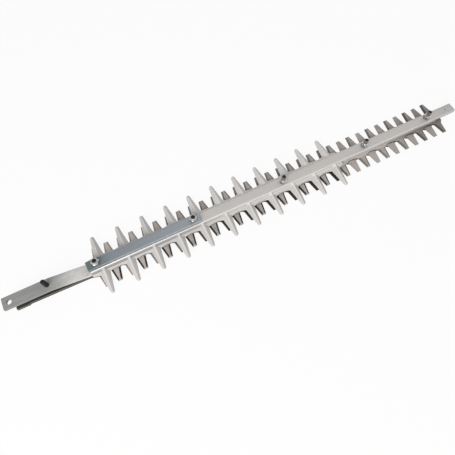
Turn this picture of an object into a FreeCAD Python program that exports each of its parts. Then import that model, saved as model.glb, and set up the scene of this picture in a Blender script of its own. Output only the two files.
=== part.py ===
"""Double-sided hedge trimmer blade: two sliding toothed blades under a bar with a finger guard.

Frame: millimetres, +X along the blade from the shank hole to the tip, +Z up.
Origin: centre of the shank hole, on the shank's top face, where the gear case seats.
"""
import FreeCAD, Part
import math
import os

Vector = FreeCAD.Vector
UP = Vector(0, 0, 1)

# Layout of teeth and fingers along the blade
PITCH = 30.0                # tooth pitch, shared by both blades and the fingers
TOOTH_COUNT = 16            # teeth on each side of each blade
FINGER_COUNT = 11           # guard fingers on each side; the tip is left without them
FIRST_FINGER_X = 99.5       # first finger, from the shank hole
UPPER_SHIFT = 11.7          # upper teeth, from the fingers, with the blades at rest
LOWER_SHIFT = -2.6          # lower teeth, from the fingers, with the blades at rest
STROKE = 14.5               # travel of each blade
BOLT_STEPS = (-0.15, 3.73, 7.67, 11.60, 14.87)  # bolts, counted in pitches from the first finger
STRIP_BOLTS = 2             # bolts that also clamp the backing strip

# Support bar, cranked up to a shank at the gear end
BAR_THICKNESS = 3.0
BAR_WIDTH = 12.0            # under the guard
BAR_TAIL = 14.0             # bar past the last bolt
SHANK_WIDTH = 14.4
SHANK_RISE = 8.0            # step from the bar up to the shank
SHANK_END = 7.0             # shank past its hole
SHANK_HOLE_RADIUS = 2.75
SHANK_CORNER = 1.2
CRANK_START = 43.0          # where the shank starts to fall to the bar
CRANK_LENGTH = 41.0
CRANK_BEND = 12.0           # inside radius of both bends

# Locating pin on the shank
PIN_X = 40.4
PIN_RADIUS = 2.5
PIN_HEIGHT = 12.5
PIN_CHAMFER = 0.5
PIN_SPIGOT_RADIUS = 2.0     # pressed end, in the shank

# Finger guard, cast in one piece with its rail and plain tip
GUARD_LEAD = 13.5           # guard ahead of the first finger
GUARD_TIP = 9.0             # tip past the last full pitch
GUARD_WIDTH = 12.8          # top face of the rail
GUARD_HEIGHT = 4.65         # rail above the bar
GUARD_EDGE = 0.9            # bevel along the rail's top
TIP_MARK_X = 12.0           # punch mark on the rail, from the tip's end
TIP_MARK_FLATS = 1.8
TIP_MARK_DEPTH = 0.5
FLANGE_WIDTH = 20.0
FLANGE_RISE = 1.95          # flange above the bar's top face
FLANGE_DROP = 1.95          # flange below the bar's top face
FLANGE_TAPER = 0.6          # slope along the flange's outer edge
FLANGE_TAIL = 11.0          # flange past the last finger
FINGER_REACH = 36.0         # finger tip from the blade's axis
FINGER_FOOT = 11.6          # where a finger's straight flank starts, from the axis
FINGER_ROOT = 11.0          # width at the foot
FINGER_TIP = 4.6            # width at the tip
FINGER_NOSE = 1.3           # corners cut back at the tip
FINGER_LAND = 1.7           # upright part of the finger's side
CREST_FLARE = 13.0          # width of the sloping part where it leaves the rail
CREST_SLOPE = 1.4           # run of the finger's sloping sides for each millimetre of height
CREST_FALL = 1.3            # crest below the rail's top face, where it leaves the rail
CREST_TIP_RISE = 1.4        # crest above the upright side at the tip
NOSE_RISE = 0.5             # the same at the very end

# Blades
BLADE_THICKNESS = 2.0
BLADE_WIDTH = 15.0          # spine between the gullets
TOOTH_REACH = 25.0          # tooth tip from the blade's axis
TOOTH_FOOT = 10.0           # where a tooth's straight flank starts, from the axis
TOOTH_ROOT = 10.6           # width at the foot
TOOTH_TIP = 5.2             # width at the tip
BEVEL_WIDTH = 1.9           # ground flanks
BEVEL_DEPTH = 1.35
TIP_BEVEL = 1.6
BEVEL_RUNOUT = 0.6          # flank left unground above the foot
SPINE_END = 2.4             # spine past the last tooth's foot
TAIL_WIDTH = 12.4           # at the neck; it widens to the spine
TAIL_START_X = 1.5          # tails, from the shank hole
TAIL_LEAD = 14.0            # spine ahead of the first tooth
EYE_WIDTH = 14.0            # drive eye at the end of each tail
EYE_LENGTH = 13.0
EYE_RADIUS = 3.1
EYE_X = 6.8                 # eye from the tail's end

# Backing strip on the rail
STRIP_WIDTH = 11.2
STRIP_THICKNESS = 4.5
STRIP_LEAD = 10.6           # strip ahead of its first bolt
STRIP_TAIL = 7.2            # strip past its last bolt

# Bolts, nuts and guide bushes
BOLT_RADIUS = 2.5
BOLT_STAND = 0.85           # bolt past the nuts on the strip
HEAD_RADIUS = 6.0
HEAD_HEIGHT = 2.5
SOCKET_FLATS = 3.0
SOCKET_DEPTH = 1.5
NUT_FLATS = 8.0
NUT_HEIGHT = 6.3
BUSH_WALL = 0.8             # guide bush round its bolt

# Clearances
SLIDE_GAP = 0.05            # between sliding faces
SLOT_GAP = 0.15             # slot round a bush, across
STOP_GAP = 0.30             # slot past a bush, at the end of the stroke
BOLT_GAP = 0.20             # bolt holes, on the radius
THREAD_GAP = 0.05           # nut on the bolt, on the radius
CHANNEL_GAP = 0.15          # guard beside the bar
SEAT_GAP = 0.02             # pressed parts, on the radius
SHOULDER_GAP = 0.50         # shank shoulder before the guard
OVERCUT = 1.0               # cutters past the faces that they cut

# Heights, from the shank's top face down and back up the bolt stack
BAR_TOP = -SHANK_RISE
BAR_BOTTOM = BAR_TOP - BAR_THICKNESS
UPPER_TOP = BAR_BOTTOM - SLIDE_GAP
UPPER_BOTTOM = UPPER_TOP - BLADE_THICKNESS
LOWER_TOP = UPPER_BOTTOM - SLIDE_GAP
LOWER_BOTTOM = LOWER_TOP - BLADE_THICKNESS
HEAD_TOP = LOWER_BOTTOM - SLIDE_GAP
GUARD_TOP = BAR_TOP + GUARD_HEIGHT
FLANGE_TOP = BAR_TOP + FLANGE_RISE
FLANGE_BOTTOM = BAR_TOP - FLANGE_DROP
STRIP_TOP = GUARD_TOP + STRIP_THICKNESS
BOLT_END = STRIP_TOP + NUT_HEIGHT + BOLT_STAND

# Places along the blade
GUARD_START = FIRST_FINGER_X - GUARD_LEAD
GUARD_END = FIRST_FINGER_X + TOOTH_COUNT * PITCH + GUARD_TIP
BOLT_X = [FIRST_FINGER_X + step * PITCH for step in BOLT_STEPS]
BAR_END = BOLT_X[-1] + BAR_TAIL

# Radii that follow the bolts
HOLE_RADIUS = BOLT_RADIUS + BOLT_GAP
BUSH_RADIUS = HOLE_RADIUS + BUSH_WALL


def in_plan(u, v):
    return Vector(u, v, 0)


def in_section(u, v):
    return Vector(0, u, v)


def in_side(u, v):
    return Vector(u, 0, v)


def rounded_face(corners, place):
    """Closed face through corners given as (u, v) or (u, v, radius)."""
    points = [place(corner[0], corner[1]) for corner in corners]
    edges = []
    ends = []
    for index, corner in enumerate(corners):
        point = points[index]
        radius = corner[2] if len(corner) > 2 else 0
        if not radius:
            ends.append((point, None, point))
            continue
        back = (points[index - 1] - point).normalize()
        ahead = (points[(index + 1) % len(points)] - point).normalize()
        half = back.getAngle(ahead) / 2
        tangent = radius / math.tan(half)
        inward = (back + ahead).normalize()
        middle = point + inward * (radius / math.sin(half) - radius)
        ends.append((point + back * tangent, middle, point + ahead * tangent))
    for index, (start, middle, finish) in enumerate(ends):
        if middle is not None:
            edges.append(Part.Arc(start, middle, finish).toShape())
        following = ends[(index + 1) % len(ends)][0]
        if finish.distanceToPoint(following) > 1e-6:
            edges.append(Part.LineSegment(finish, following).toShape())
    return Part.Face(Part.Wire(edges))


def plate(corners, bottom, thickness):
    """Plate with the given plan outline."""
    face = rounded_face(corners, in_plan)
    face.translate(Vector(0, 0, bottom))
    return face.extrude(UP * thickness)


def comb_plate(lead, places, foot, root, tip, reach, nose, floor, end, thickness):
    """Double-sided comb lying on z = 0, with an arc as the floor of each gap.

    lead holds the points ahead of the first tooth, and end is the x of the far end.
    """
    start = Vector(lead[0][0], 0, 0)
    edges = []
    at = start
    for x, y in lead:
        edges.append(Part.LineSegment(at, Vector(x, y, 0)).toShape())
        at = Vector(x, y, 0)
    for index, x in enumerate(places):
        left = Vector(x - root / 2, foot, 0)
        if index:
            edges.append(Part.Arc(at, Vector(x - PITCH / 2, floor, 0), left).toShape())
        else:
            edges.append(Part.LineSegment(at, left).toShape())
        at = left
        corners = [(-tip / 2, reach - nose), (nose - tip / 2, reach), (tip / 2 - nose, reach)]
        corners += [(tip / 2, reach - nose), (root / 2, foot)]
        for u, v in corners:
            point = Vector(x + u, v, 0)
            if point.distanceToPoint(at) > 1e-6:
                edges.append(Part.LineSegment(at, point).toShape())
            at = point
    for point in (Vector(end, floor, 0), Vector(end, 0, 0), start):
        edges.append(Part.LineSegment(at, point).toShape())
        at = point
    half = Part.Face(Part.Wire(edges)).extrude(UP * thickness)
    return half.fuse(half.mirror(Vector(0, 0, 0), Vector(0, 1, 0))).removeSplitter()


def bar_of_section(corners, start, end):
    """Straight bar along X with the given cross-section."""
    face = rounded_face(corners, in_section)
    face.translate(Vector(start, 0, 0))
    return face.extrude(Vector(end - start, 0, 0))


def disc(x, bottom, top, radius):
    return Part.makeCylinder(radius, top - bottom, Vector(x, 0, bottom), UP)


def polygon(points):
    return Part.Face(Part.makePolygon(points + points[:1]))


def turned(x, profile):
    """Solid of revolution about the vertical through x, from (radius, height) points."""
    points = [Vector(x + radius, 0, height) for radius, height in profile]
    return polygon(points).revolve(Vector(x, 0, 0), UP, 360)


def flat_sided(sections):
    """Solid with flat sides through sections that have the same number of points."""
    faces = [polygon(sections[0]), polygon(sections[-1])]
    for here, there in zip(sections, sections[1:]):
        for index in range(len(here)):
            faces.append(polygon([here[index - 1], here[index], there[index], there[index - 1]]))
    return Part.Solid(Part.Shell(faces))


def hexagon(x, bottom, top, flats):
    corner = flats / math.sqrt(3)
    points = []
    for step in range(6):
        angle = math.radians(60 * step)
        points.append(Vector(x + corner * math.cos(angle), corner * math.sin(angle), bottom))
    return polygon(points).extrude(UP * (top - bottom))


def mirrored(corners):
    """Outline of the far side, with its copy on the near side, as one closed loop."""
    near = [(corner[0], -corner[1]) + tuple(corner[2:]) for corner in reversed(corners)]
    return corners + near


def bolt_holes(stations, bottom, top):
    """Cutters for the bolts through a piece that spans the two heights."""
    return [disc(x, bottom - OVERCUT, top + OVERCUT, HOLE_RADIUS) for x in stations]


def support_bar():
    """Flat bar under the guard, cranked up to the shank that the gear case holds."""
    slope = math.atan2(SHANK_RISE, CRANK_LENGTH)
    back = BAR_THICKNESS * math.tan(slope / 2)
    crank_end = CRANK_START + CRANK_LENGTH
    outer = CRANK_BEND + BAR_THICKNESS
    side = [
        (-SHANK_END, 0),
        (CRANK_START, 0, outer),
        (crank_end, BAR_TOP, CRANK_BEND),
        (BAR_END, BAR_TOP),
        (BAR_END, BAR_BOTTOM),
        (crank_end - back, BAR_BOTTOM, outer),
        (CRANK_START - back, -BAR_THICKNESS, CRANK_BEND),
        (-SHANK_END, -BAR_THICKNESS),
    ]
    strap = rounded_face(side, in_side)
    strap.translate(Vector(0, -SHANK_WIDTH, 0))
    strap = strap.extrude(Vector(0, 2 * SHANK_WIDTH, 0))
    shoulder = GUARD_START - SHOULDER_GAP
    half = SHANK_WIDTH / 2
    outline = mirrored([
        (-SHANK_END, half, SHANK_CORNER),
        (shoulder, half),
        (shoulder, BAR_WIDTH / 2),
        (BAR_END, BAR_WIDTH / 2),
    ])
    body = strap.common(plate(outline, BAR_BOTTOM - OVERCUT, SHANK_RISE + BAR_THICKNESS + 2 * OVERCUT))
    holes = bolt_holes(BOLT_X, BAR_BOTTOM, BAR_TOP)
    holes.append(disc(0, -BAR_THICKNESS - OVERCUT, OVERCUT, SHANK_HOLE_RADIUS))
    return body.cut(holes + [pin_hole()])


def pin_hole():
    """Cutter for the pin's hole, countersunk under the pin so that the shank's top face stays clear."""
    radius = PIN_SPIGOT_RADIUS + SEAT_GAP
    mouth = PIN_RADIUS + SEAT_GAP
    return turned(PIN_X, [
        (0, -BAR_THICKNESS - OVERCUT),
        (radius, -BAR_THICKNESS - OVERCUT),
        (radius, radius - mouth),
        (mouth, 0),
        (mouth, OVERCUT),
        (0, OVERCUT),
    ])


def locating_pin():
    """Dowel that stands on the shank, with a thinner end pressed into the shank's hole."""
    return turned(PIN_X, [
        (0, -BAR_THICKNESS),
        (PIN_SPIGOT_RADIUS, -BAR_THICKNESS),
        (PIN_SPIGOT_RADIUS, 0),
        (PIN_RADIUS, 0),
        (PIN_RADIUS, PIN_HEIGHT - PIN_CHAMFER),
        (PIN_RADIUS - PIN_CHAMFER, PIN_HEIGHT),
        (0, PIN_HEIGHT),
    ])


def crest_section(y, width, rise):
    """Cross-section of a finger's sloping upper part, at distance y from the axis."""
    foot = FLANGE_BOTTOM + FINGER_LAND
    half = width / 2
    crest = half - CREST_SLOPE * rise
    corners = [(-half, foot), (-crest, foot + rise), (crest, foot + rise), (half, foot)]
    return [Vector(u, y, v) for u, v in corners]


def finger_crest():
    """Sloping upper part of one far-side finger, centred on x = 0, falling from rail to tip."""
    inside = GUARD_WIDTH / 2 - GUARD_EDGE
    shoulder = FINGER_REACH - FINGER_NOSE
    root_rise = GUARD_TOP - CREST_FALL - FLANGE_BOTTOM - FINGER_LAND
    fall = (root_rise - CREST_TIP_RISE) / (shoulder - inside)
    sections = [
        crest_section(inside, CREST_FLARE, root_rise),
        crest_section(FINGER_FOOT, FINGER_ROOT, root_rise - fall * (FINGER_FOOT - inside)),
        crest_section(shoulder, FINGER_TIP, CREST_TIP_RISE),
        crest_section(FINGER_REACH, FINGER_TIP - 2 * FINGER_NOSE, NOSE_RISE),
    ]
    return flat_sided(sections)


def finger_guard():
    """Rail, flanges and fingers as one casting, with a channel that straddles the bar."""
    rail_half = GUARD_WIDTH / 2
    rail = bar_of_section([
        (-rail_half, BAR_TOP),
        (rail_half, BAR_TOP),
        (rail_half, GUARD_TOP - GUARD_EDGE),
        (rail_half - GUARD_EDGE, GUARD_TOP),
        (GUARD_EDGE - rail_half, GUARD_TOP),
        (-rail_half, GUARD_TOP - GUARD_EDGE),
    ], GUARD_START, GUARD_END)
    places = [FIRST_FINGER_X + index * PITCH for index in range(FINGER_COUNT)]
    flange_end = places[-1] + FLANGE_TAIL
    edge = FLANGE_WIDTH / 2
    comb = comb_plate(
        [(GUARD_START, edge)], places, FINGER_FOOT, FINGER_ROOT, FINGER_TIP, FINGER_REACH, FINGER_NOSE,
        edge, flange_end, FINGER_LAND)
    comb.translate(Vector(0, 0, FLANGE_BOTTOM))
    flange = bar_of_section([
        (-edge, FLANGE_BOTTOM + FINGER_LAND),
        (edge, FLANGE_BOTTOM + FINGER_LAND),
        (edge - FLANGE_TAPER, FLANGE_TOP),
        (FLANGE_TAPER - edge, FLANGE_TOP),
    ], GUARD_START, flange_end)
    far_crest = finger_crest()
    near_crest = far_crest.mirror(Vector(0, 0, 0), Vector(0, 1, 0))
    crests = []
    for x in places:
        crests.append(far_crest.translated(Vector(x, 0, 0)))
        crests.append(near_crest.translated(Vector(x, 0, 0)))
    body = rail.fuse([comb, flange] + crests).removeSplitter()
    half_channel = BAR_WIDTH / 2 + CHANNEL_GAP
    channel = Part.makeBox(
        flange_end - GUARD_START + 2 * OVERCUT,
        2 * half_channel,
        FLANGE_DROP + OVERCUT,
        Vector(GUARD_START - OVERCUT, -half_channel, FLANGE_BOTTOM - OVERCUT),
    )
    mark = hexagon(
        GUARD_END - TIP_MARK_X, GUARD_TOP - TIP_MARK_DEPTH, GUARD_TOP + OVERCUT, TIP_MARK_FLATS)
    return body.cut([channel, mark] + bolt_holes(BOLT_X, BAR_TOP, GUARD_TOP))


def backing_strip():
    """Thick strip on the rail, under the two nuts nearest the gear case."""
    half = STRIP_WIDTH / 2
    stations = BOLT_X[:STRIP_BOLTS]
    outline = mirrored([
        (stations[0] - STRIP_LEAD, half),
        (stations[-1] + STRIP_TAIL, half),
    ])
    strip = plate(outline, GUARD_TOP, STRIP_THICKNESS)
    return strip.cut(bolt_holes(stations, GUARD_TOP, STRIP_TOP))


def bevel_cutter(start, end, width):
    """Wedge that grinds a slope along the edge from start to end, on the blade's upper face.

    The blade lies on z = 0 and its body is to the right of the edge.
    """
    along = (end - start).normalize()
    inward = Vector(along.y, -along.x, 0)
    over = OVERCUT / BEVEL_DEPTH
    low = BLADE_THICKNESS - BEVEL_DEPTH * (1 + over)
    high = BLADE_THICKNESS + BEVEL_DEPTH * over
    outer = inward * (-width * over)
    inner = inward * (width * (1 + over))
    base = start - along * OVERCUT
    points = [base + outer + UP * low, base + inner + UP * high, base + outer + UP * high]
    return polygon(points).extrude(along * ((end - start).Length + 2 * OVERCUT))


def tooth_bevels():
    """Cutters for one far-side tooth at x = 0: both flanks and the tip."""
    lean = (TOOTH_ROOT - TOOTH_TIP) / 2 / (TOOTH_REACH - TOOTH_FOOT)
    rise = BEVEL_RUNOUT + OVERCUT
    foot = Vector(TOOTH_ROOT / 2 - lean * rise, TOOTH_FOOT + rise, 0)
    tip = Vector(TOOTH_TIP / 2, TOOTH_REACH, 0)
    right = bevel_cutter(tip, foot, BEVEL_WIDTH)
    left = right.mirror(Vector(0, 0, 0), Vector(1, 0, 0))
    end = bevel_cutter(Vector(-tip.x, tip.y, 0), tip, TIP_BEVEL)
    return [left, right, end]


def blade(shift, travel):
    """Toothed blade lying on z = 0, ground on its upper face, slotted for its travel."""
    places = [FIRST_FINGER_X + shift + index * PITCH for index in range(TOOTH_COUNT)]
    neck = TAIL_START_X + EYE_LENGTH
    lead = [
        (TAIL_START_X, EYE_WIDTH / 2),
        (neck, EYE_WIDTH / 2),
        (neck + EYE_WIDTH - TAIL_WIDTH, TAIL_WIDTH / 2),
        (places[0] - TAIL_LEAD, BLADE_WIDTH / 2),
    ]
    end = places[-1] + TOOTH_ROOT / 2 + SPINE_END
    body = comb_plate(
        lead, places, TOOTH_FOOT, TOOTH_ROOT, TOOTH_TIP, TOOTH_REACH, 0,
        BLADE_WIDTH / 2, end, BLADE_THICKNESS)
    cutters = [disc(TAIL_START_X + EYE_X, -OVERCUT, BLADE_THICKNESS + OVERCUT, EYE_RADIUS)]
    half_slot = BUSH_RADIUS + SLOT_GAP
    for x in BOLT_X:
        left = x - max(travel, 0) - BUSH_RADIUS - STOP_GAP
        right = x - min(travel, 0) + BUSH_RADIUS + STOP_GAP
        slot = [(left, half_slot), (right, half_slot)]
        cutters.append(plate(mirrored(slot), -OVERCUT, BLADE_THICKNESS + 2 * OVERCUT))
    far_bevels = tooth_bevels()
    near_bevels = [cutter.mirror(Vector(0, 0, 0), Vector(0, 1, 0)) for cutter in far_bevels]
    for x in places:
        cutters += [cutter.translated(Vector(x, 0, 0)) for cutter in far_bevels + near_bevels]
    return body.cut(cutters)


def upper_blade():
    """Ground on top; it moves from the pose at rest back towards the gear case."""
    return blade(UPPER_SHIFT, -STROKE).translated(Vector(0, 0, UPPER_BOTTOM))


def lower_blade():
    """Ground underneath; it moves from the pose at rest towards the tip."""
    turned_over = blade(LOWER_SHIFT, STROKE).mirror(Vector(0, 0, 0), UP)
    return turned_over.translated(Vector(0, 0, LOWER_TOP))


def guide_bush(x):
    """Spacer sleeve on a bolt; the blades slide along it and it keeps the nut from pinching them."""
    return disc(x, HEAD_TOP, BAR_BOTTOM, BUSH_RADIUS).cut(
        disc(x, HEAD_TOP - OVERCUT, BAR_BOTTOM + OVERCUT, HOLE_RADIUS))


def guide_bolt(x):
    """Bolt put in from below; its wide flat head with a hexagon socket carries the lower blade."""
    bottom = HEAD_TOP - HEAD_HEIGHT
    body = turned(x, [
        (0, bottom),
        (HEAD_RADIUS, bottom),
        (HEAD_RADIUS, HEAD_TOP),
        (BOLT_RADIUS, HEAD_TOP),
        (BOLT_RADIUS, BOLT_END),
        (0, BOLT_END),
    ])
    return body.cut(hexagon(x, bottom - OVERCUT, bottom + SOCKET_DEPTH, SOCKET_FLATS))


def lock_nut(x, seat):
    """Tall hexagon nut that clamps a bolt's stack."""
    bore = disc(x, seat - OVERCUT, seat + NUT_HEIGHT + OVERCUT, BOLT_RADIUS + THREAD_GAP)
    return hexagon(x, seat, seat + NUT_HEIGHT, NUT_FLATS).cut(bore)


def nut_seats():
    """Each bolt's place with the height that its nut sits at."""
    on_strip = [(x, STRIP_TOP) for x in BOLT_X[:STRIP_BOLTS]]
    on_rail = [(x, GUARD_TOP) for x in BOLT_X[STRIP_BOLTS:]]
    return on_strip + on_rail


def save(node, shape):
    shape.exportStep("parts/" + node + ".step")


os.makedirs("parts", exist_ok=True)
save("support_bar", support_bar())
save("locating_pin", locating_pin())
save("finger_guard", finger_guard())
save("backing_strip", backing_strip())
save("upper_blade", upper_blade())
save("lower_blade", lower_blade())
for number, (x, seat) in enumerate(nut_seats(), 1):
    save("guide_bolt_%d" % number, guide_bolt(x))
    save("guide_bush_%d" % number, guide_bush(x))
    save("lock_nut_%d" % number, lock_nut(x, seat))
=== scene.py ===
"""Surfaces, hardware, light and camera for a double-sided hedge trimmer blade.

Laid out as an add-on and run as a script. Lengths are in metres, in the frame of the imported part:
+X runs from the shank hole to the tip, +Z is up, and the origin lies on the shank's top face.
"""
import math

import bmesh
import bpy
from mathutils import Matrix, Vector


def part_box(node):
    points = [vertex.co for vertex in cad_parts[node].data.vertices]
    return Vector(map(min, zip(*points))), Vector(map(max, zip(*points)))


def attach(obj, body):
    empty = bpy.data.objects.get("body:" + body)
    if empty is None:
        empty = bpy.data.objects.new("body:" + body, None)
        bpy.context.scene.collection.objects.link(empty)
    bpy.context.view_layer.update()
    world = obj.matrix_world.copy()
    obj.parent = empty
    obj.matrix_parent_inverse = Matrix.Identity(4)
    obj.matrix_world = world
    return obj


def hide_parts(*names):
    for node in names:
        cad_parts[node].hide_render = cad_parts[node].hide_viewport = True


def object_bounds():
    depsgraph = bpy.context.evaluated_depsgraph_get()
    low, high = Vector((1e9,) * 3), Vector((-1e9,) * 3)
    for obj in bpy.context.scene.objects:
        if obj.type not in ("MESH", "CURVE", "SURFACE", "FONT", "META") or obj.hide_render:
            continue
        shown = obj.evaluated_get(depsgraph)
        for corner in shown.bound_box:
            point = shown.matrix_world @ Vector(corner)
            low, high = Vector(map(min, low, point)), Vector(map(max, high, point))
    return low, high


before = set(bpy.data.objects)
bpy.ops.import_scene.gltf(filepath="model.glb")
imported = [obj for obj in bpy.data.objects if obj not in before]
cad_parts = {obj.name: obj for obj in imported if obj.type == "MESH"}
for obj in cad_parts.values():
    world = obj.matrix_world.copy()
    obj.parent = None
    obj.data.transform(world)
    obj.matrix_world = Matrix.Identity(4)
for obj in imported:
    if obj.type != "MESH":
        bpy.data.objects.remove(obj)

bl_info = {
    "name": "Hedge Trimmer Blade",
    "version": (1, 0, 0),
    "blender": (4, 5, 0),
    "location": "View3D > Sidebar > Trimmer",
    "description": "Models and finishes the pieces of a hedge trimmer blade on its packed frame",
    "category": "Object",
}

CAD_LOW, CAD_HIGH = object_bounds()
FRAME_BODY = "frame"
NUMBERS = range(1, 6)           # bolts, bushes and nuts
SHARP = math.radians(28)        # edges steeper than this are rounded and shaded as edges
ROOM = 2.2                      # least width of a face beside a rounded edge, in radii
NEAR_ENOUGH = 0.00002           # two places this close are the same
CLOSE_MERGE = 0.00001           # corners this close become one, on pieces with fine edges
WIDE_MERGE = 0.00004            # the same for the casting and the blades
FULL_TURN = 2 * math.pi

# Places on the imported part
RAIL_SIDE = 0.0064              # side of the guard's rail, from the middle
FLANGE_LIP = 0.0094             # where the flange's edge starts to slope, from the middle
FLANGE_TOP = -0.00605
UNDER_RAIL_TOP = -0.00336       # just under the rail's top face
FIRST_FINGER = 0.0995           # middle of the first finger
FINGER_PITCH = 0.030
FINGERS = range(11)
MARK_PLACE = (0.5765, 0.0)      # punch mark near the tip
MARK_RADIUS = 0.0012
PIN_PLACE = 0.0404
SPIGOT_SHARE = 0.8              # radius of the pin's thinner end in the shank, over the pin's own
TAIL_END = 0.080                # where the blades' tails run in under the guard
BARE_START = 0.400              # where the guard's fingers end and the teeth stand free
TIP_START = 0.500               # where the last, darker teeth start
BLADE_JOINT = -0.013075         # height between the two blades

# Where a finish changes: the place where it is absent, then the place where it is full
SHADED_FLANGE = (0.280, 0.160)
PAINTED_LIGHT_FLANGE = (0.200, 0.320)
PAINTED_LIGHT_FAR_FINGERS = (0.140, 0.240)
DULL_TIP = (0.545, 0.575)
PAINTED_LIGHT_FACE = (0.200, 0.120)
FIRST_TEETH = (0.250, 0.120)
BARE_TEETH = (BARE_START - 0.03, BARE_START + 0.03)
LAST_TEETH = (TIP_START - 0.02, TIP_START + 0.03)
LAST_FACES = (TIP_START - 0.02, TIP_START + 0.05)
LIT_NEAR_SPINE = (-0.0105, -0.0085)
FAR_SIDE = (-0.004, 0.004)
UPPER_BLADE = (BLADE_JOINT - 0.00005, BLADE_JOINT + 0.00005)

# Lamps, from the middle of the blade
KEY_OFFSET = Vector((-0.82, -0.82, 0.76))
FILL_OFFSET = Vector((0.9, 0.5, 0.9))
FLOOR_SIZE = 8.0


# Settings that a user would change

def length(name, description, default):
    return bpy.props.FloatProperty(
        name=name, description=description, default=default, min=0.0, unit="LENGTH")


def share(name, description, default):
    return bpy.props.FloatProperty(
        name=name, description=description, default=default, min=0.0, max=1.0, subtype="FACTOR")


def tint(name, description, default):
    return bpy.props.FloatVectorProperty(
        name=name, description=description, default=default, min=0.0, max=1.0, subtype="COLOR")


class CastingSettings(bpy.types.PropertyGroup):
    rounding: length("Rounding", "Radius on the casting's edges and corners", 0.00035)
    crown: length("Crown", "Height of a finger's crest in its middle over its edges", 0.0006)
    metal: tint("Metal", "Colour of the cast skin", (0.555, 0.532, 0.512))
    # Edges rubbed bright, with a painted highlight in their colour.
    rubbed: tint("Rubbed and highlit edge", "Colour of edges rubbed bright", (0.66, 0.645, 0.625))
    mark: tint("Punch mark", "Colour of the dirty mark near the tip", (0.40, 0.31, 0.295))
    # A lighter copy of the cast skin: painted highlight on the rail's bevels and the near crests.
    polished: tint("Painted highlight", "Colour of the rail's bevels and the near crests", (0.72, 0.705, 0.685))


class SteelSettings(bpy.types.PropertyGroup):
    bar_rounding: length("Bar rounding", "Radius on the edges of the support bar", 0.00018)
    bar_metal: tint("Bar metal", "Colour of the brushed bar", (0.62, 0.605, 0.585))
    # Painted shade on the shank's end before the pin, also the colour of the smudges.
    bar_shade_and_smudge: tint("Bar shade and smudge", "Colour of the dull end of the shank", (0.262, 0.266, 0.254))
    strip_rounding: length("Strip rounding", "Radius on the edges of the backing strip", 0.00030)
    strip_metal: tint("Strip plating", "Colour of the plated strip", (0.225, 0.250, 0.275))
    strip_end_tone: tint("Strip end tone", "Darker plating round the first nut", (0.105, 0.135, 0.140))
    # The strip's rubbed edges, with a painted highlight in their colour.
    strip_rubbed_and_highlit: tint("Strip edge", "Colour of the strip's rubbed edges", (0.52, 0.53, 0.53))


class BladeSettings(bpy.types.PropertyGroup):
    rounding: length("Burr", "Radius on the blades' edges", 0.00010)
    face: tint("Face", "Colour of the rolled faces", (0.415, 0.372, 0.345))
    tarnish: tint("Tarnish", "Colour of tarnished patches", (0.270, 0.245, 0.225))
    # Near flanks are painted dark as shade; far flanks are paler.
    ground: tint("Ground flank", "Colour of the ground flanks on the near side", (0.034, 0.030, 0.027))
    clean: tint("Far flank", "Colour of the ground flanks on the far side", (0.200, 0.182, 0.168))
    tip: tint("Tip", "Colour of the ground tips", (0.37, 0.345, 0.33))
    # Near walls are painted dark as shade; far walls less so.
    wall: tint("Wall", "Colour of the sheared walls on the near side", (0.055, 0.046, 0.040))
    far_wall: tint("Far wall", "Colour of the sheared walls on the far side", (0.120, 0.108, 0.100))
    # Painted shade on the lower blade's face under the fingers, near and far.
    finger_shade: tint("Finger shade", "Colour of the lower blade's face under the near fingers", (0.046, 0.039, 0.035))
    far_finger_shade: tint("Far finger shade", "Colour of that face under the far fingers", (0.250, 0.230, 0.215))
    # Painted shade on the tails under the shank, and painted light on the upper tail's edges.
    tail_face_shade: tint("Tail face shade", "Colour of the tails' oily faces", (0.046, 0.039, 0.034))
    lower_tail_shade: tint("Lower tail shade", "Colour of the lower tail's oily edges", (0.024, 0.019, 0.016))
    upper_tail_light: tint("Upper tail light", "Colour of the upper tail's wiped edges", (0.165, 0.150, 0.138))


class HardwareSettings(bpy.types.PropertyGroup):
    hexagon_height: length("Hexagon height", "Height of the nut's hexagon below its collar", 0.0044)
    collar_radius: length("Collar radius", "Radius of the nut's locking collar", 0.0035)
    bore_radius: length("Bore radius", "Radius of the nut's bore", 0.00255)
    plating: tint("Plating", "Colour of the bright zinc on the nuts", (0.52, 0.53, 0.515))
    # Painted shade on the nuts' flats that face along X.
    side_flat_shade: tint("Side flat shade", "Colour of the nuts' worn flats", (0.27, 0.285, 0.265))
    bolt_radius: length("Bolt radius", "Outer radius of the bolt's thread", 0.0025)
    thread_pitch: length("Thread pitch", "Distance from one thread crest to the next", 0.0008)
    thread_depth: length("Thread depth", "Depth of the thread", 0.00036)
    thread_length: length("Thread length", "Threaded length, from the bolt's end", 0.0120)
    socket_flats: length("Socket flats", "Hexagon socket across flats", 0.0030)
    socket_depth: length("Socket depth", "Depth of the hexagon socket", 0.0015)
    black: tint("Black oxide", "Colour of the blackened bolts and pin", (0.011, 0.008, 0.008))
    # Rubbed thread, made lighter with a painted reflection.
    worn: tint("Thread wear and sheen", "Colour of the bolt's rubbed thread", (0.115, 0.106, 0.100))
    pin_rounding: length("Pin rounding", "Radius on the end of the locating pin", 0.0009)


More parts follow.
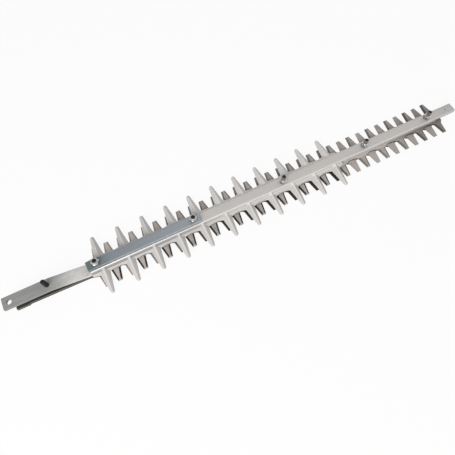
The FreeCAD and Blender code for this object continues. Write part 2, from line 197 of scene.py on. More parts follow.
class StageSettings(bpy.types.PropertyGroup):
    camera_place: bpy.props.FloatVectorProperty(
        name="Camera place", description="Where the camera stands", subtype="XYZ", unit="LENGTH",
        default=(0.153959, -0.195909, 0.418888))
    camera_turn: bpy.props.FloatVectorProperty(
        name="Camera turn", description="Turn of the camera about X, Y and Z", subtype="EULER",
        unit="ROTATION", default=(math.radians(24.573), math.radians(-0.298), math.radians(-26.722)))
    lens: bpy.props.FloatProperty(
        name="Lens", description="Focal length of the camera in millimetres", default=32.19, min=1.0)
    floor: tint("Floor", "Colour of the floor", (0.86, 0.86, 0.86))
    white: share("White", "How white the camera sees the floor, over its shadows", 0.92)
    sky: share("Sky", "Strength of the light from all round", 0.42)
    key: bpy.props.FloatProperty(
        name="Key lamp", description="Power of the main lamp", default=15.0, min=0.0, unit="POWER")
    fill: bpy.props.FloatProperty(
        name="Fill lamp", description="Power of the other lamp", default=2.0, min=0.0, unit="POWER")
    key_size: length("Key size", "Side of the main lamp", 0.8)
    fill_size: length("Fill size", "Side of the other lamp", 1.2)


# Shader values and nodes

class Socket:
    """An output socket whose arithmetic adds Math nodes to its tree."""

    def __init__(self, socket):
        self.socket = socket

    def math(self, operation, *values):
        node = self.socket.id_data.nodes.new("ShaderNodeMath")
        node.operation = operation
        for target, value in zip(node.inputs, values):
            feed(target, value)
        return Socket(node.outputs[0])

    def __add__(self, other):
        return self.math("ADD", self, other)

    def __sub__(self, other):
        return self.math("SUBTRACT", self, other)

    def __rsub__(self, other):
        return self.math("SUBTRACT", other, self)

    def __mul__(self, other):
        return self.math("MULTIPLY", self, other)

    __radd__ = __add__
    __rmul__ = __mul__


def feed(target, value):
    """Link a socket to an input, or set the input's own value."""
    if isinstance(value, Socket):
        target.id_data.links.new(value.socket, target)
    elif target.type == "RGBA":
        target.default_value = (*value, 1.0)
    else:
        target.default_value = value


class Nodes:
    """Adds nodes to one tree."""

    def __init__(self, tree):
        self.tree = tree

    def add(self, kind, settings=None, sockets=None, output=0):
        """A node of any type: its settings first, then the values or links of its sockets."""
        node = self.tree.nodes.new(kind)
        for name, value in (settings or {}).items():
            setattr(node, name, value)
        for name, value in (sockets or {}).items():
            feed(node.inputs[name], value)
        return Socket(node.outputs[output])

    def place(self, stretch=(1, 1, 1)):
        """Object coordinates, stretched along an axis by a small number there."""
        where = self.add("ShaderNodeTexCoord", output="Object")
        return self.add("ShaderNodeMapping", sockets={"Vector": where, "Scale": stretch})

    def noise(self, scale, detail=3.0, stretch=(1, 1, 1)):
        sockets = {"Vector": self.place(stretch), "Scale": scale, "Detail": detail, "Roughness": 0.6}
        return self.add("ShaderNodeTexNoise", sockets=sockets)

    def ramp(self, value, low, high):
        """0 below low, 1 above high and smooth between them; low may be the larger one."""
        sockets = {"Value": value, "From Min": low, "From Max": high}
        return self.add("ShaderNodeMapRange", {"interpolation_type": "SMOOTHSTEP"}, sockets)

    def mix(self, factor, first, second):
        """Colour between two colours."""
        return self.add("ShaderNodeMix", {"data_type": "RGBA"}, {0: factor, 6: first, 7: second}, 2)

    def along(self, axis):
        """Object coordinate along one axis."""
        where = self.add("ShaderNodeTexCoord", output="Object")
        return self.add("ShaderNodeSeparateXYZ", sockets={"Vector": where}, output=axis)

    def bump(self, height, depth):
        sockets = {"Height": height, "Distance": depth, "Strength": 1.0}
        return self.add("ShaderNodeBump", sockets=sockets)


class Finish(Nodes):
    """A new material and its shader."""

    def __init__(self, name):
        self.material = bpy.data.materials.new(name)
        self.material.use_nodes = True
        super().__init__(self.material.node_tree)

    def painted_tail(self):
        """1 on the blades' tails, where light and shade are painted, fading out unevenly under the
        guard's first fingers.
        """
        edge = self.along("X") + 0.020 * self.noise(90, 3)
        return self.ramp(edge, TAIL_END + 0.026, TAIL_END + 0.008)

    def shade(self, **sockets):
        """Set the shader's sockets, written with underscores, and return the material."""
        shader = self.tree.nodes["Principled BSDF"]
        for name, value in sockets.items():
            feed(shader.inputs[name.replace("_", " ")], value)
        return self.material


def toned(colour, factor):
    """A colour made lighter or darker."""
    return tuple(min(1.0, part * factor) for part in colour)


# Finishes

def cast_skin(name, metal, roughness):
    """Tumbled casting: cloudy grey with fine grain and small pits, with painted shade by the near rail
    and painted light on the flange and far fingers.
    """
    finish = Finish(name)
    clouds = finish.noise(42, 5)
    grain = finish.noise(950, 4)
    pits = finish.ramp(finish.noise(430, 2), 0.68, 0.76)
    along = finish.along("X")
    side = 0 - finish.along("Y")
    beside = finish.ramp(side, RAIL_SIDE - 0.0003, RAIL_SIDE + 0.0004)
    inside = finish.ramp(side, FLANGE_LIP + 0.0001, FLANGE_LIP - 0.0008)
    low = finish.ramp(finish.along("Z"), FLANGE_TOP + 0.0017, FLANGE_TOP + 0.0003)
    # Painted shade in the corner between the near rail and the flange.
    flange_shade = 0.58 * finish.ramp(along, *SHADED_FLANGE) * beside * inside * low
    # Painted light on the near flange, past the first fingers.
    bright = 0.6 * finish.ramp(along, *PAINTED_LIGHT_FLANGE) * beside * inside
    # Painted light on the far fingers beyond the first few.
    far = finish.ramp(side, -RAIL_SIDE, -RAIL_SIDE - 0.004) * finish.ramp(along, *PAINTED_LIGHT_FAR_FINGERS)
    tone = finish.mix(clouds, toned(metal, 0.90), toned(metal, 1.08))
    tone = finish.mix(0.30 * pits, tone, toned(metal, 0.50))
    tone = finish.mix(flange_shade, tone, toned(metal, 0.40))
    tone = finish.mix(bright, tone, toned(metal, 1.35))
    tone = finish.mix(0.6 * far, tone, toned(metal, 1.22))
    # Darker towards the tip.
    tone = finish.mix(0.35 * finish.ramp(along, *DULL_TIP), tone, toned(metal, 0.74))
    return finish.shade(
        Base_Color=tone,
        Metallic=0.10,
        Roughness=finish.ramp(grain, 0.2, 0.9) * 0.18 + roughness,
        Normal=finish.bump(0.7 * grain - 0.8 * pits, 0.00003))


def brushed_steel(name, metal, dull, contrast):
    """Rolled strip brushed along X, with scratches and faint smudges, and painted shade on the shank
    before the pin.
    """
    finish = Finish(name)
    streaks = finish.noise(1500, 4, (0.012, 1, 1))
    bands = finish.noise(260, 3, (0.02, 1, 1))
    smudges = finish.noise(28, 4)
    scratches = finish.ramp(finish.noise(900, 2, (0.03, 1, 1)), 0.64, 0.70)
    brushed = finish.ramp(0.6 * streaks + 0.4 * bands, 0.30, 0.70)
    bright = finish.mix(brushed, toned(metal, 1 - contrast), toned(metal, 1 + contrast))
    # matt is the painted shade on the shank before the pin.
    matt = finish.mix(brushed, toned(dull, 1 - contrast), toned(dull, 1 + contrast))
    shade_ends_past_pin = finish.ramp(finish.along("X"), PIN_PLACE - 0.004, PIN_PLACE + 0.028)
    tone = finish.mix(shade_ends_past_pin, matt, bright)
    tone = finish.mix(0.22 * finish.ramp(smudges, 0.45, 0.75), tone, toned(dull, 0.80))
    tone = finish.mix(0.25 * scratches, tone, toned(metal, 1.25))
    return finish.shade(
        Base_Color=tone,
        Metallic=0.15,
        Roughness=0.38 + 0.16 * streaks + 0.10 * smudges,
        Normal=finish.bump(0.6 * streaks - 0.5 * scratches, 0.00003))


def plated_strip(name, metal, end_tone, start):
    """Dull zinc plate, drawn along X and darker near the gear end."""
    finish = Finish(name)
    streaks = finish.noise(1100, 3, (0.02, 1, 1))
    spangle = finish.noise(160, 3)
    # Darker towards the gear end, with a darker tone over the first part.
    toward_start = finish.ramp(finish.along("X"), start + 0.034, start)
    drawn = 0.6 * streaks + 0.4 * spangle
    clean = finish.mix(drawn, toned(metal, 1.06), toned(metal, 1.38))
    dull = finish.mix(drawn, toned(metal, 0.86), toned(metal, 1.10))
    tone = finish.mix(finish.ramp(finish.along("X"), start + 0.02, start + 0.12), dull, clean)
    tone = finish.mix(0.95 * toward_start, tone, end_tone)
    return finish.shade(
        Base_Color=tone,
        Metallic=0.35,
        Roughness=0.36 + 0.14 * spangle,
        Normal=finish.bump(0.5 * streaks + 0.3 * spangle, 0.00003))


def rolled_face(name, face, tarnish, shaded_tail, finger_shade=None):
    """Flat face of a blade: warm grey steel, tarnished in patches, rolled along X, with painted shade
    on the tail.

    The last argument gives the near and the far colour of painted shade on a face under the guard's
    fingers.
    """
    finish = Finish(name)
    patches = finish.noise(85, 5)
    marks = finish.noise(1300, 3, (0.03, 1, 1))
    specks = finish.ramp(finish.noise(700, 2), 0.66, 0.74)
    tone = finish.mix(finish.ramp(patches, 0.38, 0.70), face, tarnish)
    tone = finish.mix(0.35 * marks, tone, toned(face, 1.18))
    tone = finish.mix(0.5 * specks, tone, toned(tarnish, 0.5))
    along = finish.along("X")
    far = finish.ramp(finish.along("Y"), *FAR_SIDE)
    # Painted light on the faces near the gear end, more on the far side.
    tone = finish.mix((0.4 + 0.5 * far) * finish.ramp(along, *PAINTED_LIGHT_FACE), tone, toned(face, 1.50))
    # Painted light on the near face beside the rail, from the fingers' end to the last teeth.
    lit_spine = finish.ramp(finish.along("Y"), *LIT_NEAR_SPINE) * (1 - far)
    bare = finish.ramp(along, BARE_START, BARE_START + 0.02)
    bare = bare * finish.ramp(along, TIP_START, TIP_START - 0.03)
    tone = finish.mix(0.8 * lit_spine * bare, tone, toned(face, 1.55))
    last = finish.ramp(along, *LAST_FACES)
    tone = finish.mix((0.85 - 0.25 * far) * last, tone, toned(tarnish, 0.72))
    # Painted light on the near side, then painted shade under the fingers, lighter on the first teeth.
    if finger_shade:
        tone = finish.mix(0.45 * (1 - far), tone, toned(face, 1.30))
        dark = finish.mix(finish.ramp(along, *FIRST_TEETH), finish.mix(far, *finger_shade), toned(face, 0.85))
        tone = finish.mix(finish.ramp(along, BARE_START + 0.025, BARE_START - 0.005), tone, dark)
    # Painted shade on the tail under the shank.
    tone = finish.mix(finish.painted_tail(), tone, shaded_tail)
    return finish.shade(
        Base_Color=tone,
        Metallic=0.10,
        Specular_IOR_Level=0.35,
        Roughness=0.40 + 0.20 * patches,
        Normal=finish.bump(0.5 * marks - 0.6 * specks, 0.00003))


def ground_steel(name, metal, lit_first_teeth, free, lit_tail, shaded_tail, gloss):
    """Ground or sheared surface with fine lines, and painted light and shade on the tails.

    metal is the colour under the fingers, and free the paler colour, with painted light, of the bare
    teeth.
    The next argument gives the lower and the upper blade's painted light on the first teeth. The upper
    tail's edges get painted light, and the lower tail's painted shade.
    """
    finish = Finish(name)
    lines = finish.noise(2200, 3, (0.06, 1, 1))
    patches = finish.noise(240, 3)
    along = finish.along("X")
    worn = 0.6 * lines + 0.4 * patches
    tone = finish.mix(worn, toned(metal, 0.70), toned(metal, 1.45))
    upper = finish.ramp(finish.along("Z"), *UPPER_BLADE)
    clean = finish.mix(worn, toned(free, 0.80), toned(free, 1.20))
    # Painted light on the first teeth.
    tone = finish.mix(0.85 * finish.ramp(along, *FIRST_TEETH), tone, finish.mix(upper, *lit_first_teeth))
    # Painted reflection on the bare teeth's flanks past the guard.
    tone = finish.mix(finish.ramp(along, *BARE_TEETH), tone, clean)
    tone = finish.mix(finish.ramp(along, *LAST_TEETH), tone, toned(free, 0.45))
    # Painted shade on the lower tail's edges, painted light on the upper tail's.
    tone = finish.mix(finish.painted_tail(), tone, finish.mix(upper, shaded_tail, lit_tail))
    return finish.shade(
        Base_Color=tone,
        Metallic=0.10,
        Specular_IOR_Level=gloss,
        Roughness=0.42 + 0.20 * lines,
        Normal=finish.bump(lines, 0.00003))


def bright_zinc(name, metal):
    """Bright plated nut with small dull spots."""
    finish = Finish(name)
    dull = finish.noise(620, 3)
    spots = finish.ramp(finish.noise(480, 2), 0.58, 0.70)
    tone = finish.mix(dull, toned(metal, 0.85), toned(metal, 1.15))
    tone = finish.mix(0.5 * spots, tone, toned(metal, 0.45))
    return finish.shade(
        Base_Color=tone,
        Metallic=0.85,
        Roughness=0.14 + 0.20 * dull,
        Normal=finish.bump(dull, 0.00002))


def black_oxide(name, metal, gloss):
    """Blackened steel, worn a little lighter in patches."""
    finish = Finish(name)
    wear = finish.ramp(finish.noise(520, 4), 0.52, 0.78)
    grain = finish.noise(1800, 2)
    return finish.shade(
        Base_Color=finish.mix(0.6 * wear, metal, toned(metal, 3.0)),
        Metallic=0.05,
        Specular_IOR_Level=gloss,
        Roughness=0.42 + 0.18 * grain,
        Normal=finish.bump(grain, 0.00002))


# Modelling steps

def only(obj):
    """Make one object the selected and active one."""
    bpy.ops.object.select_all(action="DESELECT")
    obj.select_set(True)
    bpy.context.view_layer.objects.active = obj


def editing():
    bpy.ops.object.mode_set(mode="EDIT")
    bpy.ops.mesh.select_all(action="SELECT")


def modelled():
    bpy.ops.object.mode_set(mode="OBJECT")


def modify(obj, kind, **settings):
    """Add a modifier and apply it."""
    only(obj)
    bpy.ops.object.modifier_add(type=kind)
    modifier = obj.modifiers[-1]
    for name, value in settings.items():
        setattr(modifier, name, value)
    bpy.ops.object.modifier_apply(modifier=modifier.name)


def has_room(edge, radius):
    """True for a sharp outer edge whose two faces are wide enough to round it."""
    if not edge.is_convex or edge.calc_face_angle(0.0) < SHARP:
        return False
    widths = [2 * face.calc_area() / face.calc_perimeter() for face in edge.link_faces]
    return min(widths) > ROOM * radius


def pick(obj, mode, test):
    """Select the edges or faces that pass a test, in edit mode."""
    bpy.ops.mesh.select_mode(type=mode)
    form = bmesh.from_edit_mesh(obj.data)
    for part in form.edges if mode == "EDGE" else form.faces:
        part.select_set(test(part))
    bmesh.update_edit_mesh(obj.data)


def smooth(obj):
    """Shade an object smooth, apart from its sharp edges."""
    only(obj)
    bpy.ops.object.shade_smooth_by_angle(angle=SHARP)


def round_edges(obj, radius, segments, material=-1):
    """Bevel the sharp outer edges, and shade what is left of them as edges."""
    only(obj)
    editing()
    pick(obj, "EDGE", lambda edge: has_room(edge, radius))
    bpy.ops.mesh.bevel(
        offset=radius, segments=segments, affect="EDGES", clamp_overlap=False, material=material)
    bpy.ops.mesh.select_mode(type="VERT")
    modelled()
    smooth(obj)


def copy_of(node, name, merge):
    """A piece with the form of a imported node, its triangles joined where corners are within merge."""
    piece = bpy.data.objects.new(name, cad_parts[node].data.copy())
    bpy.context.collection.objects.link(piece)
    piece.data.materials.clear()
    only(piece)
    bpy.ops.mesh.customdata_custom_splitnormals_clear()
    editing()
    bpy.ops.mesh.remove_doubles(threshold=merge)
    bpy.ops.mesh.dissolve_limited(angle_limit=math.radians(0.5))
    modelled()
    return piece


def turned(name, profile, steps):
    """A mesh turned about the Z axis from (radius, height) points."""
    bpy.ops.object.select_all(action="DESELECT")
    bpy.ops.mesh.primitive_plane_add(size=0.001)
    piece = bpy.context.object
    piece.name = name
    editing()
    bpy.ops.mesh.merge(type="CENTER")
    radius, height = profile[0]
    bpy.ops.transform.translate(value=(radius, 0, height))
    for next_radius, next_height in profile[1:]:
        step = (next_radius - radius, 0, next_height - height)
        bpy.ops.mesh.extrude_region_move(TRANSFORM_OT_translate={"value": step})
        radius, height = next_radius, next_height
    bpy.ops.mesh.select_all(action="SELECT")
    bpy.ops.mesh.spin(steps=steps, angle=FULL_TURN, center=(0, 0, 0), axis=(0, 0, 1))
    bpy.ops.mesh.select_all(action="SELECT")
    bpy.ops.mesh.remove_doubles(threshold=1e-6)
    bpy.ops.mesh.normals_make_consistent(inside=False)
    modelled()
    return piece


def hexagon(flats, bottom, top):
    """Hexagonal bar about the Z axis with corners on the X axis."""
    bpy.ops.object.select_all(action="DESELECT")
    bpy.ops.mesh.primitive_cylinder_add(
        vertices=6, radius=flats / math.sqrt(3), depth=top - bottom,
        location=(0, 0, (top + bottom) / 2), rotation=(0, 0, math.radians(30)))
    bpy.ops.object.transform_apply(location=True, rotation=True, scale=True)
    return bpy.context.object


def carve(piece, tool, operation):
    """Combine a piece with a tool body, which is used up."""
    modify(piece, "BOOLEAN", operation=operation, object=tool, solver="EXACT")
    bpy.data.objects.remove(tool)


def copy_to(form, name, place):
    """A copy with its own mesh, which holds its place."""
    only(form)
    bpy.ops.object.duplicate(linked=False)
    piece = bpy.context.object
    piece.name = name
    bpy.ops.transform.translate(value=place)
    bpy.ops.object.transform_apply(location=True, rotation=False, scale=False)
    return piece


def settle(piece, node, body):
    """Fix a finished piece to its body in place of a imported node."""
    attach(piece, body)
    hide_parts(node)


def coat(piece, *materials):
    for material in materials:
        piece.data.materials.append(material)


# Operators

class TRIMMER_OT_finger_guard(bpy.types.Operator):
    """Round and finish the cast guard with its rail and fingers"""
    bl_idname = "trimmer.finger_guard"
    bl_label = "Finger Guard"
    SKIN, RUBBED_AND_HIGHLIT, POLISHED, MARK = range(4)     # order of the finishes

    def execute(self, context):
        settings = context.scene.trimmer_casting
        guard = copy_of("finger_guard", "guard_casting", WIDE_MERGE)
        coat(
            guard,
            cast_skin("cast_aluminium", settings.metal, roughness=0.42),
            cast_skin("rubbed_highlit_aluminium", settings.rubbed, roughness=0.30),
            cast_skin("highlit_aluminium", settings.polished, roughness=0.30),
            cast_skin("punch_mark", settings.mark, roughness=0.50))
        for face in guard.data.polygons:
            face.material_index = self.finish_of(face.center, face.normal)
        self.crown_crests(guard, settings.crown)
        # The rounded edges take the rubbed colour with its painted highlight.
        round_edges(guard, settings.rounding, segments=2, material=self.RUBBED_AND_HIGHLIT)
        settle(guard, "finger_guard", FRAME_BODY)
        return {"FINISHED"}

    def finish_of(self, centre, normal):
        """Number of a face's finish, by its place and the way that it faces."""
        # The rail's bevels and the near crests take the painted highlight.
        if self.is_ridge(centre, normal):
            return self.POLISHED
        if math.dist(centre.xy, MARK_PLACE) < MARK_RADIUS and centre.z < UNDER_RAIL_TOP:
            return self.MARK
        return self.SKIN

    def crown_crests(self, guard, crown):
        """Cut each finger's crest down its middle and raise it there, most at the flange's lip."""
        middles = [FIRST_FINGER + FINGER_PITCH * number for number in FINGERS]
        cuts = [((middle, 0, 0), (1, 0, 0)) for middle in middles]
        cuts += [((0, -FLANGE_LIP, 0), (0, 1, 0)), ((0, FLANGE_LIP, 0), (0, 1, 0))]
        only(guard)
        editing()
        for place, normal in cuts:
            pick(guard, "FACE", self.is_crest)
            bpy.ops.mesh.bisect(plane_co=place, plane_no=normal)
        form = bmesh.from_edit_mesh(guard.data)
        tops = [vert for vert in form.verts if self.is_crown(vert.co, middles)]
        if len(tops) < 2 * len(middles):
            raise RuntimeError("only %d of %d crests were cut" % (len(tops), 2 * len(middles)))
        for vert in tops:
            vert.co.z += crown
        bmesh.update_edit_mesh(guard.data)
        bpy.ops.mesh.select_mode(type="VERT")
        modelled()

    def is_crown(self, place, middles):
        """True where the cuts along and across a crest meet."""
        across = abs(abs(place.y) - FLANGE_LIP)
        along = min(abs(place.x - middle) for middle in middles)
        return max(across, along) < NEAR_ENOUGH and place.z > FLANGE_TOP + NEAR_ENOUGH

    def is_crest(self, face):
        """True on the gently falling top of a finger."""
        beyond = abs(face.calc_center_median().y) > RAIL_SIDE
        return beyond and 0.97 < face.normal.z < 0.9995 and abs(face.normal.x) < 0.02

    def is_ridge(self, centre, normal):
        """True on the bevels along the rail and on the crests of the near fingers."""
        if abs(centre.y) < RAIL_SIDE:
            return 0.5 < normal.z < 0.9 and centre.z > FLANGE_TOP
        on_flange = abs(centre.z - FLANGE_TOP) < 0.0001 and abs(centre.y) < FLANGE_LIP
        return centre.y < 0 and normal.z > 0.9 and not on_flange


class TRIMMER_OT_support_bar(bpy.types.Operator):
    """Round and brush the support bar with its cranked shank"""
    bl_idname = "trimmer.support_bar"
    bl_label = "Support Bar"

    def execute(self, context):
        settings = context.scene.trimmer_steel
        bar = copy_of("support_bar", "brushed_bar", CLOSE_MERGE)
        coat(bar, brushed_steel("bright_steel", settings.bar_metal, settings.bar_shade_and_smudge, contrast=0.20))
        round_edges(bar, settings.bar_rounding, segments=2)
        settle(bar, "support_bar", FRAME_BODY)
        return {"FINISHED"}


class TRIMMER_OT_backing_strip(bpy.types.Operator):
    """Round and plate the backing strip under the first two nuts"""
    bl_idname = "trimmer.backing_strip"
    bl_label = "Backing Strip"
    RUBBED_AND_HIGHLIT = 1                                  # number of the edges' finish

    def execute(self, context):
        settings = context.scene.trimmer_steel
        strip = copy_of("backing_strip", "plated_strip", CLOSE_MERGE)
        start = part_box("backing_strip")[0].x
        coat(
            strip,
            plated_strip("zinc_plate", settings.strip_metal, settings.strip_end_tone, start),
            plated_strip("rubbed_highlit_plate", settings.strip_rubbed_and_highlit, settings.strip_metal, start))
        # The rounded edges take the rubbed colour with its painted highlight.
        round_edges(strip, settings.strip_rounding, segments=3, material=self.RUBBED_AND_HIGHLIT)
        settle(strip, "backing_strip", FRAME_BODY)
        return {"FINISHED"}


class TRIMMER_OT_blades(bpy.types.Operator):
    """Round the two toothed blades and finish their faces, ground flanks, tips and walls"""
    bl_idname = "trimmer.blades"
    bl_label = "Blades"
    FACE, NEAR_FLANK, FAR_FLANK, TIP, NEAR_WALL, FAR_WALL = range(6)    # order of the finishes

    def execute(self, context):
        settings = context.scene.trimmer_blades
        near = settings.ground
        far = settings.clean
        tip = settings.tip
        near_wall = settings.wall
        far_wall = settings.far_wall
        # Painted light for the first teeth.
        lit_first_teeth = toned(far, 2.2)
        lit = toned(settings.face, 0.70)
        tail = (settings.upper_tail_light, settings.lower_tail_shade)
        rolled = (settings.face, settings.tarnish, settings.tail_face_shade)
        finger_shade = (settings.finger_shade, settings.far_finger_shade)
        faces = {
            "upper_blade": rolled_face("blade_face", *rolled),
            "lower_blade": rolled_face("finger_shaded_face", *rolled, finger_shade),
        }
        edges = (
            # Near flanks and walls carry painted shade; far ones and bare teeth a paler tone.
            ground_steel("ground_flank", near, (lit, near), toned(far, 0.95), *tail, gloss=0.20),
            ground_steel("lighter_far_flank", far, (lit_first_teeth, lit_first_teeth), far, *tail, gloss=0.30),
            ground_steel("ground_tip", tip, (tip, tip), tip, *tail, gloss=0.40),
            ground_steel("sheared_wall", near_wall, (lit, near_wall), near_wall, *tail, gloss=0.15),
            ground_steel("far_wall", far_wall, (lit, lit), far_wall, *tail, gloss=0.15),
        )
        for node, body in (("upper_blade", "upper_cutter"), ("lower_blade", "lower_cutter")):
            piece = copy_of(node, node + "_toothed", WIDE_MERGE)
            coat(piece, faces[node], *edges)
            for face in piece.data.polygons:
                face.material_index = self.finish_of(face.normal, face.center.y < 0)
            round_edges(piece, settings.rounding, segments=1)
            settle(piece, node, body)
        return {"FINISHED"}

    def finish_of(self, normal, near):
        """Number of a face's finish, by the way that it faces and the side that it is on."""
        if abs(normal.z) > 0.95:
            return self.FACE
        if abs(normal.z) < 0.2:
            return self.NEAR_WALL if near else self.FAR_WALL
        if abs(normal.y) > abs(normal.x):
            return self.TIP
        return self.NEAR_FLANK if near else self.FAR_FLANK


class TRIMMER_OT_lock_nuts(bpy.types.Operator):
    """Turn one lock nut with its chamfers, collar and bore, and copy it to the bolts"""
    bl_idname = "trimmer.lock_nuts"
    bl_label = "Lock Nuts"
    BRIGHT, DULL = range(2)                     # order of the finishes

    def execute(self, context):
        settings = context.scene.trimmer_hardware
        low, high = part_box("lock_nut_1")
        height = high.z - low.z
        flats = high.y - low.y
        corner = (high.x - low.x) / 2
        form = turned("nut_form", self.profile(settings, height, flats / 2, corner), steps=60)
        carve(form, hexagon(flats, -height, 2 * height), "INTERSECT")
        coat(
            form,
            bright_zinc("bright_zinc", settings.plating),
            bright_zinc("shaded_flat_zinc", settings.side_flat_shade))
        # Flats facing along X get painted shade.
        for face in form.data.polygons:
            face.material_index = self.DULL if abs(face.normal.x) > 0.8 else self.BRIGHT
        smooth(form)
        for number in NUMBERS:
            node = "lock_nut_%d" % number
            low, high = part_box(node)
            nut = copy_to(form, node + "_plated", ((low.x + high.x) / 2, 0, low.z))
            settle(nut, node, FRAME_BODY)
        bpy.data.objects.remove(form)
        return {"FINISHED"}

    def profile(self, settings, height, inner, corner):
        """Section of the nut: chamfered at both ends of its hexagon, with a rounded collar on top."""
        slope = math.tan(math.radians(30))
        outer = corner * 1.02
        start = inner * 0.96
        chamfer = (outer - start) * slope
        collar = settings.collar_radius
        bore = settings.bore_radius
        lip = 0.0005
        return [
            (bore + lip, 0),
            (start, 0),
            (outer, chamfer),
            (outer, settings.hexagon_height - chamfer),
            (start, settings.hexagon_height),
            (collar, settings.hexagon_height),
            (collar, height - lip),
            (collar - lip * 0.15, height - lip * 0.45),
            (collar - lip * 0.45, height - lip * 0.15),
            (collar - lip, height),
            (bore + lip * 0.5, height),
            (bore, height - lip * 0.5),
            (bore, lip),
            (bore + lip, 0),
        ]


class TRIMMER_OT_guide_bolts(bpy.types.Operator):
    """Turn one guide bolt with its thread, head and socket, and copy it to its places"""
    bl_idname = "trimmer.guide_bolts"
    bl_label = "Guide Bolts"
    BLACK, WORN = range(2)                      # order of the finishes

    def execute(self, context):
        settings = context.scene.trimmer_hardware
        low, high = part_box("guide_bolt_1")
        head_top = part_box("guide_bush_1")[0].z
        head = (high.x - low.x) / 2
        form = turned("bolt_form", self.profile(settings, low.z, head_top, high.z, head), steps=56)
        socket = hexagon(settings.socket_flats, low.z - 0.001, low.z + settings.socket_depth)
        carve(form, socket, "DIFFERENCE")
        coat(
            form,
            black_oxide("black_oxide", settings.black, gloss=0.22),
            black_oxide("thread_wear_and_sheen", settings.worn, gloss=0.6))
        root = settings.bolt_radius - settings.thread_depth
        # The thread takes its wear and a painted reflection; the head and the end stay black.
        for face in form.data.polygons:
            on_thread = face.center.z > head_top and face.center.xy.length > root * 1.02
            face.material_index = self.WORN if on_thread else self.BLACK
        smooth(form)
        for number in NUMBERS:
            node = "guide_bolt_%d" % number
            low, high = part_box(node)
            bolt = copy_to(form, node + "_threaded", ((low.x + high.x) / 2, 0, 0))
            settle(bolt, node, FRAME_BODY)
        bpy.data.objects.remove(form)
        return {"FINISHED"}

    def profile(self, settings, bottom, head_top, top, head):
        """Half section of the bolt from the middle of its head to the middle of its end."""
        edge = 0.0005
        radius = settings.bolt_radius
        root = radius - settings.thread_depth
        pitch = settings.thread_pitch
        points = [
            (0, bottom),
            (head - 2 * edge, bottom),
            (head - edge * 0.6, bottom + edge * 0.3),
            (head, bottom + edge * 1.4),
            (head, head_top - edge * 0.4),
            (head - edge * 0.4, head_top),
            (radius, head_top),
        ]
        height = top - settings.thread_length
        while height < top - 1.5 * pitch:
            points += [(radius, height), (root, height + pitch * 0.45), (root, height + pitch * 0.55)]
            height += pitch
        return points + [(radius, height), (root, top), (0, top)]


class TRIMMER_OT_guide_bushes(bpy.types.Operator):
    """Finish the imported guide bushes, which the blades hide"""
    bl_idname = "trimmer.guide_bushes"
    bl_label = "Guide Bushes"

    def execute(self, context):
        settings = context.scene.trimmer_steel
        steel = brushed_steel("bush_steel", settings.bar_metal, settings.bar_shade_and_smudge, contrast=0.08)
        for number in NUMBERS:
            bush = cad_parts["guide_bush_%d" % number]
            bush.data.materials.clear()
            coat(bush, steel)
        return {"FINISHED"}


class TRIMMER_OT_locating_pin(bpy.types.Operator):
    """Turn the locating pin with its rounded end"""
    bl_idname = "trimmer.locating_pin"
    bl_label = "Locating Pin"

    def execute(self, context):
        settings = context.scene.trimmer_hardware
        low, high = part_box("locating_pin")
        radius = (high.y - low.y) / 2
        spigot = radius * SPIGOT_SHARE
        rounding = settings.pin_rounding
        profile = [(0, low.z), (spigot, low.z), (spigot, 0), (radius, 0), (radius, high.z - rounding)]
        for degrees in range(15, 91, 15):
            angle = math.radians(degrees)
            out = radius - rounding * (1 - math.cos(angle))
            up = high.z - rounding * (1 - math.sin(angle))
            profile.append((out, up))
        profile.append((0, high.z))
        form = turned("pin_form", profile, steps=48)
        coat(form, black_oxide("pin_black", settings.black, gloss=0.22))
        smooth(form)
        pin = copy_to(form, "locating_pin_turned", ((low.x + high.x) / 2, 0, 0))
        bpy.data.objects.remove(form)
        settle(pin, "locating_pin", FRAME_BODY)
        return {"FINISHED"}


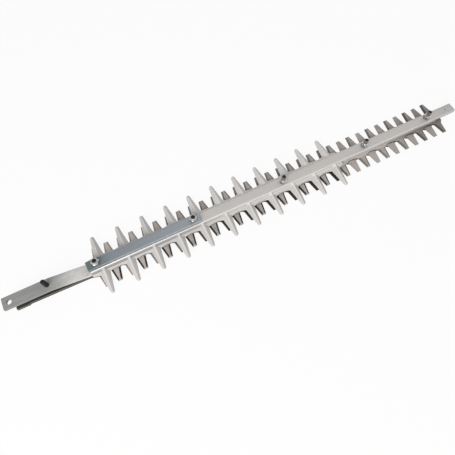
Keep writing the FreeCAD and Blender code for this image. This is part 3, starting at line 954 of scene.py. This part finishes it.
class TRIMMER_OT_stage(bpy.types.Operator):
    """Lay the pale floor and set the soft light, the lamps and the camera"""
    bl_idname = "trimmer.stage"
    bl_label = "Stage"

    def execute(self, context):
        settings = context.scene.trimmer_stage
        self.lay_floor(settings)
        self.light_world(context, settings)
        middle = (CAD_LOW + CAD_HIGH) / 2
        self.hang_lamp(middle, KEY_OFFSET, settings.key_size, settings.key)
        self.hang_lamp(middle, FILL_OFFSET, settings.fill_size, settings.fill)
        bpy.ops.object.camera_add(location=settings.camera_place, rotation=settings.camera_turn)
        camera = bpy.context.object
        camera.data.lens = settings.lens
        camera.data.clip_start = 0.01
        context.scene.camera = camera
        context.scene.view_settings.view_transform = "Standard"
        return {"FINISHED"}

    def seen(self, nodes):
        """1 for rays from the camera and for reflected or refracted ones."""
        camera = nodes.add("ShaderNodeLightPath", output="Is Camera Ray")
        glossy = nodes.add("ShaderNodeLightPath", output="Is Glossy Ray")
        through = nodes.add("ShaderNodeLightPath", output="Is Transmission Ray")
        return camera.math("MAXIMUM", camera, glossy.math("MAXIMUM", glossy, through))

    def lay_floor(self, settings):
        bpy.ops.object.select_all(action="DESELECT")
        bpy.ops.mesh.primitive_plane_add(size=FLOOR_SIZE, location=(0, 0, CAD_LOW.z))
        floor = bpy.context.object
        floor.name = "pale_floor"
        finish = Finish("pale_floor")
        matt = finish.add("ShaderNodeBsdfDiffuse", sockets={"Color": settings.floor})
        white = finish.add("ShaderNodeEmission", sockets={"Color": (1, 1, 1), "Strength": 1.0})
        factor = settings.white * self.seen(finish)
        mixed = finish.add("ShaderNodeMixShader", sockets={0: factor, 1: matt, 2: white})
        feed(finish.tree.nodes["Material Output"].inputs["Surface"], mixed)
        coat(floor, finish.material)

    def light_world(self, context, settings):
        world = bpy.data.worlds.new("studio")
        world.use_nodes = True
        context.scene.world = world
        nodes = Nodes(world.node_tree)
        plain = {"Color": (1, 1, 1)}
        lighting = nodes.add("ShaderNodeBackground", sockets={**plain, "Strength": settings.sky})
        white = nodes.add("ShaderNodeBackground", sockets={**plain, "Strength": 1.0})
        mixed = nodes.add("ShaderNodeMixShader", sockets={0: self.seen(nodes), 1: lighting, 2: white})
        feed(world.node_tree.nodes["World Output"].inputs["Surface"], mixed)

    def hang_lamp(self, middle, offset, size, power):
        turn = (-offset).to_track_quat("-Z", "Y").to_euler()
        bpy.ops.object.light_add(type="AREA", location=middle + offset, rotation=turn)
        lamp = bpy.context.object.data
        lamp.size = size
        lamp.energy = power


class TRIMMER_PT_pieces(bpy.types.Panel):
    """Lists the pieces of the blade and their settings"""
    bl_label = "Hedge Trimmer Blade"
    bl_space_type = "VIEW_3D"
    bl_region_type = "UI"
    bl_category = "Trimmer"

    def draw(self, context):
        for operator in OPERATORS:
            self.layout.operator(operator.bl_idname)
        for name, settings in SETTINGS.items():
            box = self.layout.box()
            group = getattr(context.scene, name)
            for key in settings.__annotations__:
                box.prop(group, key)


SETTINGS = {
    "trimmer_casting": CastingSettings,
    "trimmer_steel": SteelSettings,
    "trimmer_blades": BladeSettings,
    "trimmer_hardware": HardwareSettings,
    "trimmer_stage": StageSettings,
}
OPERATORS = (
    TRIMMER_OT_finger_guard,
    TRIMMER_OT_support_bar,
    TRIMMER_OT_backing_strip,
    TRIMMER_OT_blades,
    TRIMMER_OT_lock_nuts,
    TRIMMER_OT_guide_bolts,
    TRIMMER_OT_guide_bushes,
    TRIMMER_OT_locating_pin,
    TRIMMER_OT_stage,
)
CLASSES = (*SETTINGS.values(), *OPERATORS, TRIMMER_PT_pieces)


def register():
    for entry in CLASSES:
        bpy.utils.register_class(entry)
    for name, settings in SETTINGS.items():
        setattr(bpy.types.Scene, name, bpy.props.PointerProperty(type=settings))


def unregister():
    for name in SETTINGS:
        delattr(bpy.types.Scene, name)
    for entry in reversed(CLASSES):
        bpy.utils.unregister_class(entry)


def main():
    """Build every piece and the stage."""
    register()
    bpy.ops.trimmer.finger_guard()
    bpy.ops.trimmer.support_bar()
    bpy.ops.trimmer.backing_strip()
    bpy.ops.trimmer.blades()
    bpy.ops.trimmer.lock_nuts()
    bpy.ops.trimmer.guide_bolts()
    bpy.ops.trimmer.guide_bushes()
    bpy.ops.trimmer.locating_pin()
    bpy.ops.trimmer.stage()


if __name__ == "__main__":
    main()
